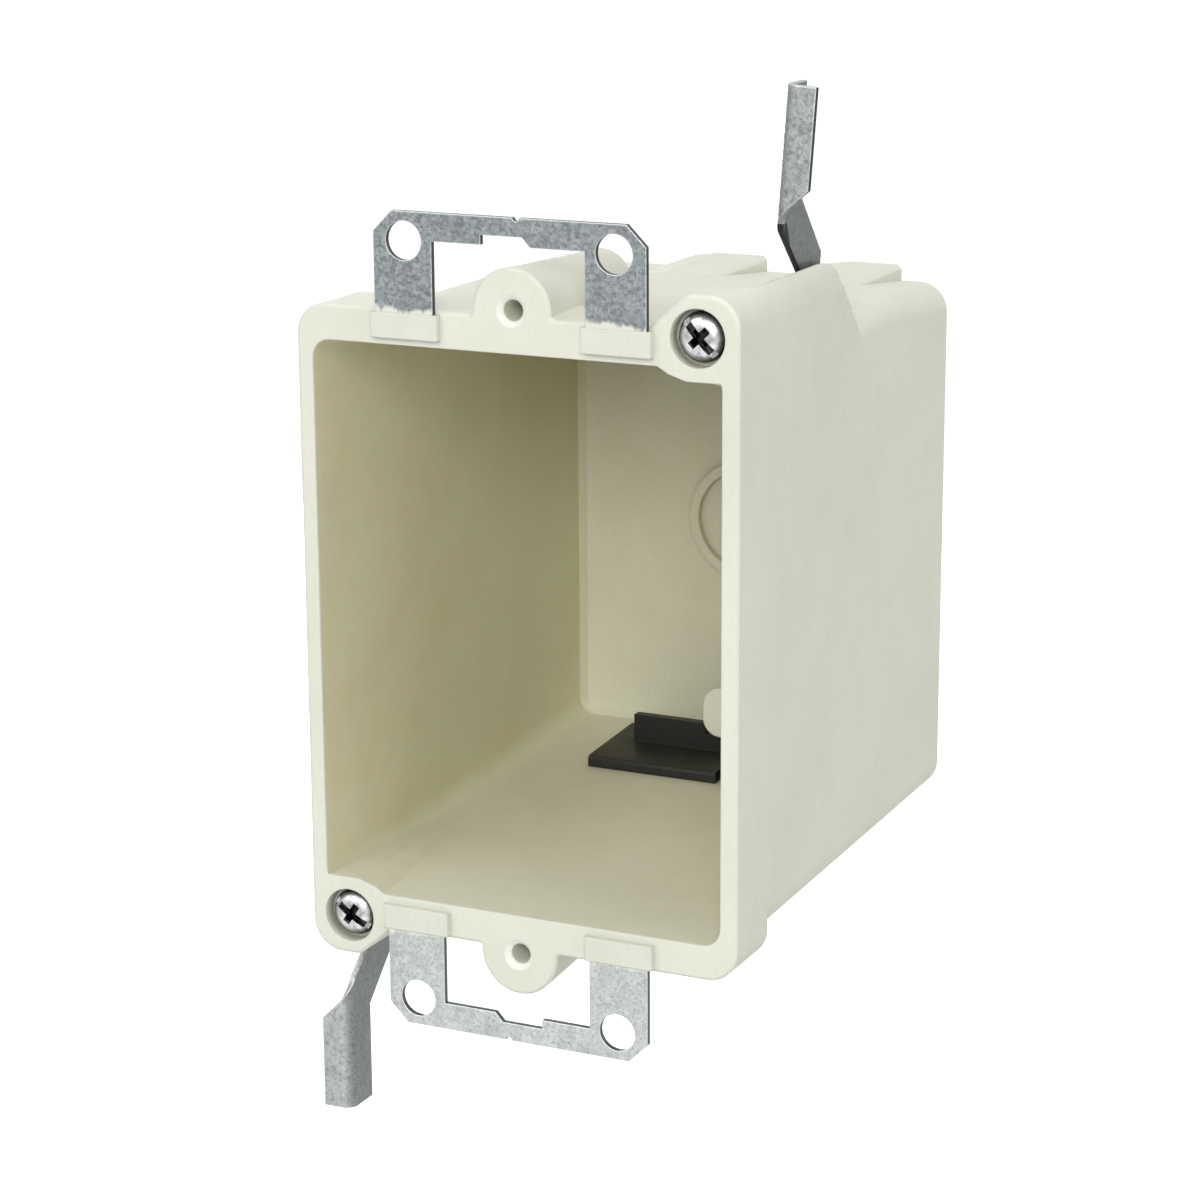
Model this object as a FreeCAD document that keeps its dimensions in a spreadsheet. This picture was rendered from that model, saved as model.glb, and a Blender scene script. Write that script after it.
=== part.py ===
"""Single-gang old-work back box for drywall: a moulded box with ears, swing brackets and cable clamps.

Frame: origin at the middle of the rim's front face, +X right and +Z up as seen from the room,
+Y into the wall.  Millimetres and degrees.
"""
import FreeCAD, Part
import Sketcher
import math
import os
from types import SimpleNamespace

# Driving dimensions: name, value and what it measures
DIMENSIONS = [
    ("device_spacing", 83.3, "between the two device screw holes"),
    ("tab_rise", 0.75, "device screw hole outside the rim's edge"),
    ("rim_width", 60.5, "rim, side to side"),
    ("rim_corner_radius", 4.0, "plain corners of the rim"),
    ("rim_edge_chamfer", 0.35, "front edge of the rim"),
    ("rim_border", 4.55, "rim above and below the opening"),
    ("side_wall", 2.2, "side walls at the rim"),
    ("side_fall", 1.35, "draft of each side wall, over its length behind the lip"),
    ("inside_fall", 1.25, "draft of each side wall's inside, over its length"),
    ("collar_depth", 10.0, "depth of the lip that stands proud of the top and bottom walls"),
    ("lip", 3.1, "height of the lip over the top and bottom walls"),
    ("box_depth", 76.8, "rim face to the outside of the back wall"),
    ("body_corner_radius", 4.0, "long corners of the walls"),
    ("back_slope_length", 21.1, "slope of the top wall down to the back edge"),
    ("back_slope_drop", 2.2, "slope of the top wall down to the back edge"),
    ("back_top_wall", 3.1, "top wall at the back edge"),
    ("back_wall", 2.0, "thickness of the back wall"),
    ("cavity_corner_radius", 2.5, "long corners of the inside"),
    ("cavity_floor_chamfer", 1.0, "inside corners round the back wall"),
    ("device_hole", 2.7, "diameter of a device screw hole"),
    ("device_hole_depth", 25.4, "depth of a device screw hole"),
    ("device_lead_in", 0.7, "chamfer at the mouth of a device screw hole"),
    ("tab_radius", 5.35, "round tab at a device screw hole"),
    ("tab_foot_radius", 0.6, "blend of a tab into the rim"),
    ("boss_length", 27.0, "boss behind a tab"),
    ("boss_back_radius", 4.15, "boss at its back end"),
    ("boss_end_chamfer", 1.2, "edge of the boss's back end"),
    ("screw_inset", 5.45, "clamp screw axis from the box's side"),
    ("screw_drop", 0.9, "clamp screw axis below the rim's edge"),
    ("screw_diameter", 3.5, "clamp screw shank"),
    ("screw_tip", 44.0, "clamp screw's tip behind the rim face"),
    ("screw_hole_gap", 0.1, "radial gap of a clamp screw in the lip"),
    ("head_diameter", 6.3, "clamp screw head"),
    ("head_height", 2.0, "clamp screw head"),
    ("head_chamfer", 0.9, "edge of the clamp screw head"),
    ("slot_depth", 0.8, "slot across the head"),
    ("drive_width", 1.0, "slot and cross in the head"),
    ("drive_length", 3.4, "cross in the head"),
    ("drive_depth", 1.3, "cross in the head"),
    ("top_drive_angle", 47.0, "turn of the top screw's slot, degrees"),
    ("bottom_drive_angle", 33.0, "turn of the bottom screw's slot, degrees"),
    ("recess_diameter", 7.2, "recess that takes a screw head"),
    ("recess_depth", 2.3, "recess that takes a screw head"),
    ("hump_over", 5.25, "top of the hump, above the clamp screw's axis"),
    ("hump_flat", 1.4, "flat top of the hump, inwards of the clamp screw's axis"),
    ("hump_foot", 6.5, "foot of the hump's slope, inwards of the clamp screw's axis"),
    ("hump_corner_radius", 4.0, "outer shoulder of the hump and of the stop wall"),
    ("hump_blend_radius", 2.0, "blends of the hump's slope"),
    ("channel_start", 8.1, "front end of the bracket channel"),
    ("channel_end", 43.5, "back end of the bracket channel"),
    ("channel_radius", 3.9, "channel below the screw axis"),
    ("channel_wall", 1.36, "wall between channel and inside"),
    ("bulge_bend", 1.2, "cut corner of the channel's wall inside the box"),
    ("stop_offset", 4.05, "inner face of the stop wall, from the screw axis"),
    ("stop_flat_end", 29.8, "back end of the stop wall's level top"),
    ("stop_bend_run", 2.6, "rounded end of the level top, depth"),
    ("stop_bend_drop", 1.05, "rounded end of the level top, height"),
    ("stop_slope_run", 12.2, "slope behind the level top, depth"),
    ("stop_slope_drop", 11.95, "slope behind the level top, height"),
    ("ear_inset", 11.75, "outer edge of an ear's leg, from the box's side"),
    ("ear_leg_width", 8.1, "leg of an ear"),
    ("ear_reach", 12.3, "outer edge of an ear, beyond the rim's edge"),
    ("ear_bar", 3.55, "cross bar of an ear"),
    ("ear_thickness", 0.75, "sheet of an ear"),
    ("ear_chamfer", 2.6, "cut corners of an ear"),
    ("ear_notch_left", 3.65, "relief in the cross bar, left of the middle"),
    ("ear_notch_right", 3.1, "relief in the cross bar, right of the middle"),
    ("ear_notch_depth", 1.2, "relief in the cross bar"),
    ("ear_notch_slope", 1.1, "slanted end of the relief"),
    ("ear_nick", 0.45, "radius of the nick in the outer edge"),
    ("ear_nick_offset", 1.2, "nick in the outer edge, from the middle"),
    ("ear_hole", 4.9, "diameter of a wall screw hole"),
    ("ear_hole_side", 4.22, "wall screw hole from the leg's outer edge"),
    ("ear_hole_inset", 3.65, "wall screw hole from the ear's outer edge"),
    ("ear_bury", 2.6, "buried end of an ear's leg, inside the rim's edge"),
    ("pad_bury", 3.6, "inner edge of the pads over the ears, inside the rim's edge"),
    ("pad_inset", 0.4, "outer edge of the pads over the ears, inside the rim's edge"),
    ("pad_border", 0.6, "pad beside an ear's leg"),
    ("pad_cover", 0.2, "pad in front of an ear's leg"),
    ("bracket_sheet", 0.85, "sheet of a swing bracket"),
    ("bracket_offset", 1.9, "near face of the bracket's web, from the screw axis"),
    ("bracket_web", 5.55, "depth of the bracket's web"),
    ("bracket_jog", 9.4, "step forward of the bracket's flag"),
    ("bracket_front_foot", 3.9, "start of the step at the web's front edge, from the screw axis"),
    ("bracket_front_kink", 12.1, "end of the step at the web's front edge, from the screw axis"),
    ("bracket_back_foot", 6.5, "start of the step at the web's back edge, from the screw axis"),
    ("bracket_back_kink", 15.6, "end of the step at the web's back edge, from the screw axis"),
    ("bracket_length", 28.9, "end of the flag, from the screw axis"),
    ("bracket_flange", 4.25, "width of the flag's front flange"),
    ("bracket_fold_radius", 0.8, "outside of the fold between web and flange"),
    ("bracket_bend_radius", 0.5, "inside of the fold between web and flange"),
    ("bracket_eye", 3.4, "radius of the eye round the screw"),
    ("bracket_collar_wall", 0.8, "wall of the threaded collar drawn from the eye"),
    ("bracket_collar_length", 1.3, "threaded collar drawn from the eye"),
    ("bracket_thread_gap", 0.05, "radial gap of the screw in the collar"),
    ("top_bracket_y", 25.9, "front face of the top bracket's eye, behind the rim face"),
    ("bottom_bracket_y", 12.1, "front face of the bottom bracket's eye, behind the rim face"),
    ("top_bracket_lean", 4.2, "outward lean of the top bracket, degrees"),
    ("entry_middle", 4.85, "middle of the pair of cable entries, from the box's middle"),
    ("entry_pitch", 20.3, "between the two cable entries of a pair"),
    ("entry_width", 10.6, "cable entry"),
    ("entry_height", 4.15, "cable entry at the back face"),
    ("entry_length", 17.8, "cable entry in the floor, from the back face"),
    ("entry_level", 4.8, "level end of a cable entry, from the back face"),
    ("hood_wall", 1.6, "hood over a cable entry"),
    ("hood_left", 8.0, "hood's foot, left of its entry's middle"),
    ("hood_shoulder", 4.3, "hood's shoulder, left of its entry's middle"),
    ("hood_shoulder_drop", 0.55, "hood's shoulder, below its crest"),
    ("hood_crest", 0.5, "left end of the crest, left of its entry's middle"),
    ("hood_right", 7.1, "hood's right side, from its entry's middle"),
    ("hood_corner", 0.6, "cut edge of the hood's right side"),
    ("lug_width", 10.9, "lug that holds a cable clamp"),
    ("lug_height", 7.2, "lug that holds a cable clamp"),
    ("lug_lift", 3.5, "lug above the floor at the back wall"),
    ("lug_length", 14.8, "lug, out from the back wall"),
    ("lug_radius", 2.6, "long corners of the lug"),
    ("clamp_side_gap", 1.7, "cable clamp's end from the side wall"),
    ("clamp_setback", 6.8, "cable clamp's back edge from the back wall"),
    ("clamp_length", 15.0, "cable clamp, back edge to front edge"),
    ("clamp_sheet", 1.6, "thickness of a cable clamp"),
    ("clamp_edge_radius", 0.6, "front edge of a cable clamp"),
    ("clamp_seat", 0.05, "gap between a cable clamp and its seat"),
    ("clamp_slot_width", 1.0, "slot between the two tongues"),
    ("clamp_slot_length", 7.0, "slot between the two tongues"),
    ("rib_setback", 6.8, "front face of the upright rib from the clamp's back edge"),
    ("rib_sheet", 1.5, "thickness of the upright rib"),
    ("rib_inset", 3.5, "end of the upright rib from the clamp's end"),
    ("rib_height", 5.5, "upright rib, over the floor"),
    ("lug_gap", 0.15, "gap between the rib and the lug"),
    ("ring_radius", 8.8, "ring on the inside of the back wall"),
    ("ring_wall", 1.4, "ring on the inside of the back wall"),
    ("ring_height", 1.2, "ring on the inside of the back wall"),
    ("ring_z", -0.5, "middle of the ring"),
]

ROOM = 1.0  # length by which cutting tools run past the face they leave
BURIED = 1.0  # length by which an added form reaches into the wall that carries it
NEAR = 0.05  # distance within which two places count as the same


class Size:
    """A length as a number, with the sheet expression that drives it."""

    def __init__(self, number, text):
        self.number = number
        self.text = text

    @staticmethod
    def of(value):
        if isinstance(value, Size):
            return value
        return Size(float(value), f"({float(value)})")

    def combined(self, other, sign, number):
        return Size(number, f"({self.text} {sign} {Size.of(other).text})")

    def __add__(self, other):
        return self.combined(other, "+", self.number + Size.of(other).number)

    def __sub__(self, other):
        return self.combined(other, "-", self.number - Size.of(other).number)

    def __mul__(self, other):
        return self.combined(other, "*", self.number * Size.of(other).number)

    def __truediv__(self, other):
        return self.combined(other, "/", self.number / Size.of(other).number)

    def __neg__(self):
        return Size(-self.number, f"(0 - {self.text})")

    def slope_angle(self):
        """The angle, in degrees, whose tangent this is."""
        return Size(math.degrees(math.atan(self.number)), f"atan({self.text})")


doc = FreeCAD.newDocument("back_box")
sheet = doc.addObject("Spreadsheet::Sheet", "Sizes")
for row, (alias, value, meaning) in enumerate(DIMENSIONS, start=1):
    sheet.set(f"A{row}", meaning)
    sheet.set(f"B{row}", str(value))
    sheet.setAlias(f"B{row}", alias)
doc.recompute()
d = SimpleNamespace(**{alias: Size(value, f"Sizes.{alias}") for alias, value, meaning in DIMENSIONS})

# Places that follow from the driving dimensions, from the middle of the rim face
HALF_WIDTH = d.rim_width / 2
RIM_TOP = d.device_spacing / 2 - d.tab_rise
BODY_TOP = RIM_TOP - d.lip
OPENING_TOP = RIM_TOP - d.rim_border
INSIDE_DEPTH = d.box_depth - d.back_wall
BACK_SLOPE_START = d.box_depth - d.back_slope_length
BACK_TOP = BODY_TOP - d.back_slope_drop
INSIDE_BACK_TOP = BACK_TOP - d.back_top_wall
SCREW_X = HALF_WIDTH - d.screw_inset
SCREW_Z = RIM_TOP - d.screw_drop
HUMP_TOP = SCREW_Z + d.hump_over
EAR_SIDE = HALF_WIDTH - d.ear_inset
EAR_TOP = RIM_TOP + d.ear_reach
LUG_FOOT = INSIDE_BACK_TOP - d.lug_lift
CLAMP_BACK = INSIDE_DEPTH - d.clamp_setback


def side_at(depth):
    """Half the outside width at a depth behind the lip."""
    return HALF_WIDTH - d.side_fall * (Size.of(depth) - d.collar_depth) / (d.box_depth - d.collar_depth)


def inside_half_width(depth):
    """Half the inside width at a depth."""
    return HALF_WIDTH - d.side_wall - d.inside_fall * depth / INSIDE_DEPTH


def inside_half_height(depth):
    """Half the inside height at a depth."""
    return OPENING_TOP - (OPENING_TOP - INSIDE_BACK_TOP) * depth / INSIDE_DEPTH


# Helpers for bodies, sketches and features

def bind(thing, path, size):
    thing.setExpression(path, Size.of(size).text)


def origin_part(body, role):
    return next(feature for feature in body.Origin.OriginFeatures if feature.Role == role)


def new_body(name):
    body = doc.addObject("PartDesign::Body", name)
    body.Label = name
    return body


def new_sketch(body, name, role, height=0.0):
    """A sketch on one of the body's origin planes, moved along the plane's normal."""
    sketch = body.newObject("Sketcher::SketchObject", name)
    sketch.AttachmentSupport = [(origin_part(body, role), "")]
    sketch.MapMode = "FlatFace"
    bind(sketch, ".AttachmentOffset.Base.z", height)
    return sketch


def front_sketch(body, name, depth=0.0):
    """A sketch in X and Z at a depth behind the rim face."""
    return new_sketch(body, name, "XZ_Plane", -Size.of(depth))


def side_sketch(body, name, across=0.0):
    """A sketch in Y and Z at a distance from the middle."""
    return new_sketch(body, name, "YZ_Plane", across)


def plan_sketch(body, name, height=0.0):
    """A sketch in X and Y at a height."""
    return new_sketch(body, name, "XY_Plane", height)


def hold_point(sketch, curve, end, point):
    for kind, size in zip(("DistanceX", "DistanceY"), point):
        size = Size.of(size)
        index = sketch.addConstraint(Sketcher.Constraint(kind, -1, 1, curve, end, size.number))
        sketch.setExpression(f"Constraints[{index}]", size.text)


def vector(point):
    return FreeCAD.Vector(Size.of(point[0]).number, Size.of(point[1]).number, 0)


def draw_polygon(sketch, corners):
    first = sketch.GeometryCount
    count = len(corners)
    for index, corner in enumerate(corners):
        following = corners[(index + 1) % count]
        sketch.addGeometry(Part.LineSegment(vector(corner), vector(following)))
    for index in range(count):
        following = first + (index + 1) % count
        sketch.addConstraint(Sketcher.Constraint("Coincident", first + index, 2, following, 1))
    for index, corner in enumerate(corners):
        hold_point(sketch, first + index, 1, corner)


def draw_rectangle(sketch, low, high):
    draw_polygon(sketch, [low, (high[0], low[1]), high, (low[0], high[1])])


def draw_circle(sketch, centre, radius):
    radius = Size.of(radius)
    curve = sketch.addGeometry(Part.Circle(vector(centre), FreeCAD.Vector(0, 0, 1), radius.number))
    hold_point(sketch, curve, 3, centre)
    index = sketch.addConstraint(Sketcher.Constraint("Radius", curve, radius.number))
    sketch.setExpression(f"Constraints[{index}]", radius.text)


def draw_arch(sketch, centre, radius, foot, side=1):
    """A half-round on two straight legs: side 1 is round at the top, side -1 at the bottom."""
    radius = Size.of(radius)
    x, z = Size.of(centre[0]), Size.of(centre[1])
    left, right = x - radius * side, x + radius * side
    start = 0 if side > 0 else math.pi
    circle = Part.Circle(vector(centre), FreeCAD.Vector(0, 0, 1), radius.number)
    arc = sketch.addGeometry(Part.ArcOfCircle(circle, start, start + math.pi))
    leg = sketch.addGeometry(Part.LineSegment(vector((left, z)), vector((left, foot))))
    base = sketch.addGeometry(Part.LineSegment(vector((left, foot)), vector((right, foot))))
    back = sketch.addGeometry(Part.LineSegment(vector((right, foot)), vector((right, z))))
    for one, other in ((arc, leg), (leg, base), (base, back), (back, arc)):
        sketch.addConstraint(Sketcher.Constraint("Coincident", one, 2, other, 1))
    hold_point(sketch, arc, 1, (right, z))
    hold_point(sketch, leg, 1, (left, z))
    hold_point(sketch, base, 1, (left, foot))
    hold_point(sketch, back, 1, (right, foot))
    index = sketch.addConstraint(Sketcher.Constraint("DistanceY", -1, 1, arc, 3, z.number))
    sketch.setExpression(f"Constraints[{index}]", z.text)


def extrude(body, kind, name, sketch, length, backwards=False, both_ways=False):
    feature = body.newObject(f"PartDesign::{kind}", name)
    feature.Profile = sketch
    feature.Reversed = backwards
    if both_ways:
        feature.SideType = "Symmetric"
    bind(feature, "Length", length)
    return feature


def pad_back(body, name, sketch, length):
    """A pad from a front sketch towards the back of the box."""
    return extrude(body, "Pad", name, sketch, length, backwards=True)


def pocket_back(body, name, sketch, length):
    """A pocket from a front sketch towards the back of the box."""
    return extrude(body, "Pocket", name, sketch, length)


def dress(body, kind, name, size, wanted):
    """A fillet or chamfer on the edges of the body, as it stands, that the test picks out."""
    doc.recompute()
    base = body.Tip
    names = [f"Edge{index}" for index, edge in enumerate(base.Shape.Edges, start=1) if wanted(edge)]
    if not names:
        raise ValueError(f"{name}: no edge found")
    feature = body.newObject(f"PartDesign::{kind}", name)
    feature.Base = (base, names)
    bind(feature, "Radius" if kind == "Fillet" else "Size", size)
    return feature


def middle(edge):
    return edge.valueAt((edge.FirstParameter + edge.LastParameter) / 2)


def is_near(value, size):
    return abs(value - Size.of(size).number) < NEAR


def is_at(edge, x, y, z):
    """True where the edge's middle is at a place, or there after half a turn about the Y axis."""
    point = middle(edge)
    turned = any(is_near(point.x * turn, x) and is_near(point.z * turn, z) for turn in (1, -1))
    return turned and is_near(point.y, y)


def is_at_corner(edge, x, y, z):
    """True where the edge's middle is at a place, or at its mirror image to any side."""
    return is_at(edge, x, y, z) or is_at(edge, x, y, -Size.of(z))


def is_round(edge):
    return not edge.Degenerated and edge.Curve.TypeId == "Part::GeomCircle"


# The moulded box

def cut_inside(body, name, start, end):
    """The inside between two depths: a cut with drafted sides, then the sloping floor and ceiling put back."""
    plan = plan_sketch(body, f"{name}_plan", OPENING_TOP)
    front, back = inside_half_width(start), inside_half_width(end)
    draw_polygon(plan, [(-front, start), (front, start), (back, end), (-back, end)])
    extrude(body, "Pocket", name, plan, OPENING_TOP * 2)
    wedges = side_sketch(body, f"{name}_floor_outlines")
    outline = [(end, inside_half_height(end)), (end, OPENING_TOP), (start, OPENING_TOP)]
    if start.number > 0:
        outline.append((start, inside_half_height(start)))
    for side in (1, -1):
        draw_polygon(wedges, [(y, z * side) for y, z in outline])
    across = inside_half_width(Size.of(0)) * 2 + NEAR
    extrude(body, "Pad", f"{name}_floor_and_ceiling", wedges, across, both_ways=True)


def add_walls(body):
    """The drafted walls, and the lip with its humps in front of them."""
    plan = plan_sketch(body, "walls_plan")
    back = side_at(d.box_depth)
    draw_polygon(plan, [(-HALF_WIDTH, d.collar_depth), (HALF_WIDTH, d.collar_depth),
                        (back, d.box_depth), (-back, d.box_depth)])
    extrude(body, "Pad", "walls", plan, BODY_TOP * 2, both_ways=True)
    cut_inside(body, "rear_inside", BACK_SLOPE_START, INSIDE_DEPTH)
    slope = side_sketch(body, "back_slope_outline")
    draw_polygon(slope, [
        (BACK_SLOPE_START, BODY_TOP), (d.box_depth, BACK_TOP), (d.box_depth + ROOM, BACK_TOP),
        (d.box_depth + ROOM, BODY_TOP + ROOM), (BACK_SLOPE_START, BODY_TOP + ROOM)])
    extrude(body, "Pocket", "back_slope", slope, d.rim_width + ROOM, both_ways=True)
    runs = [(d.collar_depth, d.box_depth, BODY_TOP), (d.collar_depth, BACK_SLOPE_START, BODY_TOP),
            (BACK_SLOPE_START, d.box_depth, (BODY_TOP + BACK_TOP) / 2)]
    dress(body, "Fillet", "wall_corners", d.body_corner_radius,
          lambda edge: any(is_at_corner(edge, side_at((start + end) / 2), (start + end) / 2, height)
                           for start, end, height in runs))
    rim = front_sketch(body, "rim_outline")
    half_turn = [(-HALF_WIDTH, RIM_TOP), (SCREW_X - d.hump_foot, RIM_TOP), (SCREW_X - d.hump_flat, HUMP_TOP),
                 (HALF_WIDTH, HUMP_TOP)]
    draw_polygon(rim, half_turn + [(-x, -z) for x, z in half_turn])
    pad_back(body, "collar", rim, d.collar_depth)


def add_stop_walls(body):
    """The outer wall of each screw channel, in the plane of the drafted side wall."""
    draft = (d.side_fall / (d.box_depth - d.collar_depth)).slope_angle()
    flat = d.stop_flat_end - d.collar_depth
    bend = flat + d.stop_bend_run
    foot = flat + d.stop_slope_run
    low = HUMP_TOP - d.stop_slope_drop
    for turn, place in ((1, "top"), (-1, "bottom")):
        sketch = side_sketch(body, f"{place}_stop_outline", HALF_WIDTH * turn)
        tilt = FreeCAD.Rotation(FreeCAD.Vector(0, turn, 0), draft.number)
        sketch.AttachmentOffset = FreeCAD.Placement(FreeCAD.Vector(), tilt)
        bind(sketch, ".AttachmentOffset.Base.x", d.collar_depth)
        bind(sketch, ".AttachmentOffset.Rotation.Angle", draft)
        outline = [(0, low - BURIED), (0, HUMP_TOP), (flat, HUMP_TOP), (bend, HUMP_TOP - d.stop_bend_drop),
                   (foot, low), (foot, low - BURIED)]
        draw_polygon(sketch, [(y, z * turn) for y, z in outline])
        extrude(body, "Pad", f"{place}_stop_wall", sketch, d.screw_inset, backwards=turn > 0)
    shoulder = (d.collar_depth + d.stop_flat_end) / 2
    lip_middle = d.collar_depth / 2
    dress(body, "Fillet", "hump_shoulders", d.hump_corner_radius,
          lambda edge: is_at(edge, HALF_WIDTH, lip_middle, HUMP_TOP)
          or is_at(edge, side_at(shoulder), shoulder, HUMP_TOP))
    dress(body, "Fillet", "rim_corners", d.rim_corner_radius,
          lambda edge: is_at(edge, HALF_WIDTH, lip_middle, -RIM_TOP))
    dress(body, "Fillet", "hump_blends", d.hump_blend_radius,
          lambda edge: is_at(edge, SCREW_X - d.hump_flat, lip_middle, HUMP_TOP)
          or is_at(edge, SCREW_X - d.hump_foot, lip_middle, RIM_TOP))


def add_device_bosses(body):
    foot = (OPENING_TOP + BODY_TOP) / 2
    for side, place in ((1, "top"), (-1, "bottom")):
        z = d.device_spacing / 2 * side
        front = front_sketch(body, f"{place}_tab_outline")
        draw_arch(front, (0, z), d.tab_radius, foot * side, side)
        back = front_sketch(body, f"{place}_boss_outline", d.boss_length)
        draw_arch(back, (0, z), d.boss_back_radius, foot * side, side)
        boss = body.newObject("PartDesign::AdditiveLoft", f"{place}_device_boss")
        boss.Profile = front
        boss.Sections = [back]
        boss.Ruled = True
    dress(body, "Chamfer", "boss_ends", d.boss_end_chamfer,
          lambda edge: is_near(middle(edge).y, d.boss_length) and is_round(edge))
    narrowing = (d.tab_radius - d.boss_back_radius) * d.collar_depth / d.boss_length / 2
    dress(body, "Fillet", "tab_feet", d.tab_foot_radius,
          lambda edge: is_at_corner(edge, d.tab_radius - narrowing, d.collar_depth / 2, RIM_TOP))


def break_rim_edge(body):
    """Breaks the outer front edge of the rim, tabs and humps in one run."""
    doc.recompute()
    faces = [face for face in body.Tip.Shape.Faces if abs(face.BoundBox.YMax) < NEAR]
    outline = max(faces, key=lambda face: face.Area).OuterWire
    dress(body, "Chamfer", "rim_edge", d.rim_edge_chamfer,
          lambda edge: any(edge.isSame(other) for other in outline.Edges))


def add_hoods(body):
    """The level roofs over the top cable entries, on the sloping end of the top wall."""
    for step, name in ((-0.5, "left"), (0.5, "right")):
        x = d.entry_middle + d.entry_pitch * step
        outline = [(x - d.hood_left, BACK_TOP - BURIED), (x - d.hood_left, BACK_TOP),
                   (x - d.hood_shoulder, BODY_TOP - d.hood_shoulder_drop), (x - d.hood_crest, BODY_TOP),
                   (x + d.hood_right - d.hood_corner, BODY_TOP),
                   (x + d.hood_right, BODY_TOP - d.hood_corner), (x + d.hood_right, BACK_TOP - BURIED)]
        sketch = front_sketch(body, f"{name}_hood_outline", d.box_depth)
        draw_polygon(sketch, outline)
        extrude(body, "Pad", f"{name}_hood", sketch, d.back_slope_length)


def finish_inside(body):
    """The front of the inside, and the corners of the whole."""
    cut_inside(body, "front_inside", Size.of(0), BACK_SLOPE_START)
    runs = [(Size.of(0), INSIDE_DEPTH), (Size.of(0), BACK_SLOPE_START), (BACK_SLOPE_START, INSIDE_DEPTH)]
    dress(body, "Fillet", "cavity_corners", d.cavity_corner_radius,
          lambda edge: any(is_at_corner(edge, inside_half_width(depth), depth, inside_half_height(depth))
                           for depth in [(start + end) / 2 for start, end in runs]))

    def is_back_edge(edge):
        point = middle(edge)
        inside = abs(point.x) < HALF_WIDTH.number - d.side_wall.number and abs(point.z) < OPENING_TOP.number
        return is_near(point.y, INSIDE_DEPTH) and inside

    dress(body, "Chamfer", "cavity_floor_corners", d.cavity_floor_chamfer, is_back_edge)


def add_screw_channels(body):
    """The inward bulge, the open channel and the stepped hole of each clamp screw."""
    outer = d.channel_radius + d.channel_wall
    bulge_foot = SCREW_Z - outer
    bulge_side = side_at(d.channel_end) - d.channel_wall
    bend = SCREW_X - outer / 2
    bend_rise = d.bulge_bend * (OPENING_TOP - bulge_foot) / (outer / 2)
    bulges = front_sketch(body, "bulge_outlines")
    channels = front_sketch(body, "channel_outlines", d.channel_start)
    reliefs = front_sketch(body, "stop_face_outlines", d.channel_start)
    holes = front_sketch(body, "screw_hole_outlines")
    recesses = front_sketch(body, "recess_outlines")
    for turn in (1, -1):
        axis = (SCREW_X * turn, SCREW_Z * turn)
        draw_polygon(bulges, [(x * turn, z * turn) for x, z in (
            (SCREW_X - outer, OPENING_TOP), (bend - d.bulge_bend, bulge_foot + bend_rise),
            (bend + d.bulge_bend, bulge_foot), (bulge_side, bulge_foot), (bulge_side, OPENING_TOP))])
        draw_arch(channels, axis, d.channel_radius, (HUMP_TOP + ROOM) * turn, -turn)
        draw_rectangle(reliefs, axis, ((SCREW_X + d.stop_offset) * turn, (HUMP_TOP + ROOM) * turn))
        draw_circle(holes, axis, d.screw_diameter / 2 + d.screw_hole_gap)
        draw_circle(recesses, axis, d.recess_diameter / 2)
    pad_back(body, "bulges", bulges, d.channel_end)
    channel_length = d.channel_end - d.channel_start
    pocket_back(body, "channels", channels, channel_length)
    pocket_back(body, "stop_faces", reliefs, channel_length)
    pocket_back(body, "screw_holes", holes, d.channel_start + ROOM)
    pocket_back(body, "head_recesses", recesses, d.recess_depth)


def add_device_holes(body):
    holes = front_sketch(body, "device_hole_outlines")
    for side in (1, -1):
        draw_circle(holes, (0, d.device_spacing / 2 * side), d.device_hole / 2)
    pocket_back(body, "device_holes", holes, d.device_hole_depth)
    dress(body, "Chamfer", "device_hole_mouths", d.device_lead_in,
          lambda edge: is_round(edge) and is_near(edge.Curve.Radius, d.device_hole / 2)
          and is_near(middle(edge).y, 0))


def add_ear_pads(body):
    """The raised pads that are moulded over the ears' legs, with the slots that the legs fill."""
    inner = EAR_SIDE - d.ear_leg_width
    top = RIM_TOP - d.pad_inset
    pads = front_sketch(body, "pad_outlines")
    slots = front_sketch(body, "leg_outlines")
    for side in (1, -1):
        for hand in (-1, 1):
            draw_rectangle(pads, ((inner - d.pad_border) * hand, (RIM_TOP - d.pad_bury) * side),
                           ((EAR_SIDE + d.pad_border) * hand, top * side))
            draw_rectangle(slots, (inner * hand, (RIM_TOP - d.ear_bury) * side),
                           (EAR_SIDE * hand, (top + ROOM) * side))
    extrude(body, "Pad", "pads", pads, d.ear_thickness + d.pad_cover)
    extrude(body, "Pocket", "leg_slots", slots, d.ear_thickness, backwards=True)


def add_back_wall_details(body):
    """The plain ring on the back wall, and the two lugs that hold the cable clamps."""
    ring = front_sketch(body, "ring_outline", INSIDE_DEPTH - d.ring_height)
    draw_circle(ring, (0, d.ring_z), d.ring_radius)
    draw_circle(ring, (0, d.ring_z), d.ring_radius - d.ring_wall)
    pad_back(body, "ring", ring, d.ring_height + d.back_wall / 2)
    lugs = front_sketch(body, "lug_outlines", INSIDE_DEPTH - d.lug_length)
    half = d.lug_width / 2
    for side in (1, -1):
        draw_rectangle(lugs, (d.entry_middle - half, (LUG_FOOT - d.lug_height) * side),
                       (d.entry_middle + half, LUG_FOOT * side))
    pad_back(body, "lugs", lugs, d.lug_length + d.back_wall / 2)
    depth = INSIDE_DEPTH - d.lug_length / 2
    dress(body, "Fillet", "lug_corners", d.lug_radius,
          lambda edge: is_near(middle(edge).y, depth) and is_near(
              abs(middle(edge).x - d.entry_middle.number), half))


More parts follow.
